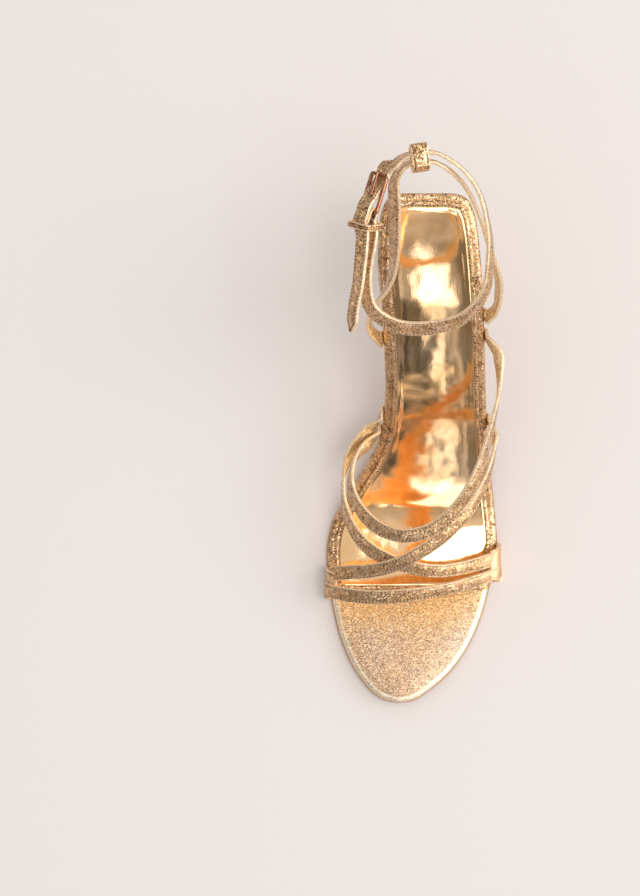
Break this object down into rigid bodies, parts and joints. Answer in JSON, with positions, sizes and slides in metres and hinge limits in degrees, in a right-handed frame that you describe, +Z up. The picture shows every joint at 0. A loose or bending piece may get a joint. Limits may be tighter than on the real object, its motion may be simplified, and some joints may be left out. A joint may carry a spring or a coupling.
{
  "type": "strappy high-heeled sandal",
  "caption": "Open-toe sandal on a slim high heel: narrow crossing toe straps, an instep strap, a rear sling and a buckled ankle strap over a padded metallic sock.",
  "frame": {"origin": "on the floor under the ball of the foot, inside the flat tread of the outsole", "axes": "+Z up; +Y from the toe to the heel; -X towards the inner side of the foot and the buckle, +X towards the outer side"},
  "size_m": [0.0841, 0.2455, 0.1614],
  "materials": {
    "gold_crackle_leather": "crackled gold foil on thin leather, semi-gloss",
    "champagne_leather": "fine-grained metallic champagne leather, satin",
    "mirror_gold_sock": "smooth mirror-like gold foil, padded",
    "gold_heel_cover": "crackled gold foil wrapped over a moulded heel",
    "tan_outsole": "matt tan sole leather",
    "beige_top_piece": "matt hard rubber",
    "rose_gold_metal": "polished rose-gold plating"
  },
  "bodies": {
    "root": {"outsole": "tan_outsole", "insole_board": "champagne_leather", "sock": "mirror_gold_sock", "heel": "gold_heel_cover", "top_piece": "beige_top_piece", "toe_straps": "gold_crackle_leather", "instep_strap": "gold_crackle_leather", "rear_sling": "gold_crackle_leather", "ankle_strap": "gold_crackle_leather", "heel_keeper": "gold_crackle_leather", "strap_loop": "gold_crackle_leather", "buckle_frame": "rose_gold_metal", "buckle_prong": "rose_gold_metal"}
  },
  "joints": []
}
